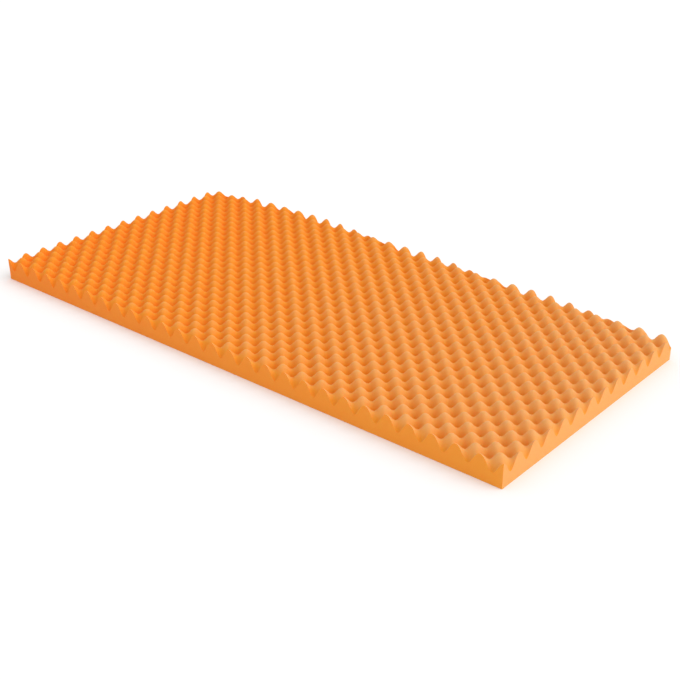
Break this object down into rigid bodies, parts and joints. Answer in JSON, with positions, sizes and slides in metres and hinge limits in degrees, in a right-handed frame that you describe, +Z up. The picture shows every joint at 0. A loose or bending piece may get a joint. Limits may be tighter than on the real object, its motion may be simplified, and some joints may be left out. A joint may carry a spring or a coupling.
{
  "type": "mattress topper",
  "caption": "Soft foam slab, flat underneath, with a chequered face of round peaks and hollows that spreads a sleeper's weight and lets air pass.",
  "frame": {"origin": "middle of the bounding box at the flat underside", "axes": "+X along the length, +Y across the width from the straight front side to the back side, +Z up through the profiled face"},
  "size_m": [2, 1.02, 0.075],
  "materials": {
    "foam": "matt open-cell foam, dyed orange through"
  },
  "bodies": {
    "root": {"foam_topper": "foam"}
  },
  "joints": []
}
